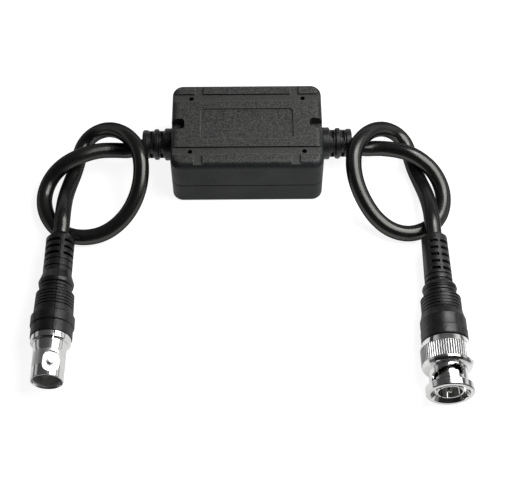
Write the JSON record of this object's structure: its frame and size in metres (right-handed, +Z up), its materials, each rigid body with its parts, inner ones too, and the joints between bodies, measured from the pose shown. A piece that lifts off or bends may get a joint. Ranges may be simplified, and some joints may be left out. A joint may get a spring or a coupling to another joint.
{
  "type": "ground loop isolator",
  "caption": "Small dark moulded isolator box with a short coaxial lead from each end, tied in a loose knot, ending in a bayonet jack and a bayonet plug.",
  "frame": {"origin": "middle of the case's underside, on the surface that the case and both connectors lie on", "axes": "+X along the case towards the plug's lead, -X towards the jack's lead; both connectors point to the front, -Y; +Z up from the case's underside to its top face"},
  "size_m": [0.1325, 0.1063, 0.019],
  "materials": {
    "case_lower": "dark grey moulded plastic, fine matte texture",
    "case_upper": "dark grey moulded plastic, fine matte texture",
    "relief_plastic": "black flexible plastic, satin",
    "boot_plastic": "black moulded boot, satin",
    "cord_jacket": "black jacket, smooth and glossy",
    "nickel_plate": "bright nickel plate",
    "white_insulator": "white insulating plastic",
    "contact_plate": "pale plated contact",
    "gasket_rubber": "dark rubber",
    "spring_steel": "plain spring steel",
    "board": "green board with solder resist",
    "ferrite": "dark grey ferrite",
    "winding_wire": "enamelled copper wire",
    "tinned_wire": "tinned copper"
  },
  "bodies": {
    "root": {"case_bottom": "case_lower", "case_top": "case_upper", "strain_relief_left": "relief_plastic", "strain_relief_right": "relief_plastic", "circuit_board": "board", "toroid_core": "ferrite", "primary_winding": "winding_wire", "secondary_winding": "winding_wire", "input_lead_tails": "tinned_wire", "output_lead_tails": "tinned_wire", "cord_left": "cord_jacket", "cord_right": "cord_jacket", "jack_boot": "boot_plastic", "jack_shell": "nickel_plate", "jack_insulator": "white_insulator", "jack_contact": "contact_plate", "jack_ferrule": "nickel_plate", "plug_boot": "boot_plastic", "plug_body": "nickel_plate", "plug_insulator": "white_insulator", "plug_pin": "contact_plate", "plug_gasket": "gasket_rubber", "wave_washer": "spring_steel", "plug_ferrule": "nickel_plate"},
    "coupling_slide": {"thrust_washer": "spring_steel"},
    "coupling_nut": {"coupling_nut": "nickel_plate"}
  },
  "joints": [
    {"name": "coupling_pull", "type": "slide", "parent": "root", "child": "coupling_slide", "axis": [0, -1, 0], "range_m": [0, 0.0006], "stiffness_N_per_m": 800, "springref_m": -0.002, "deforming": ["wave_washer"]},
    {"name": "coupling_turn", "type": "hinge", "parent": "coupling_slide", "child": "coupling_nut", "pos_m": [0.0574, -0.0817, 0.0075], "axis": [0, -1, 0], "continuous": true}
  ]
}
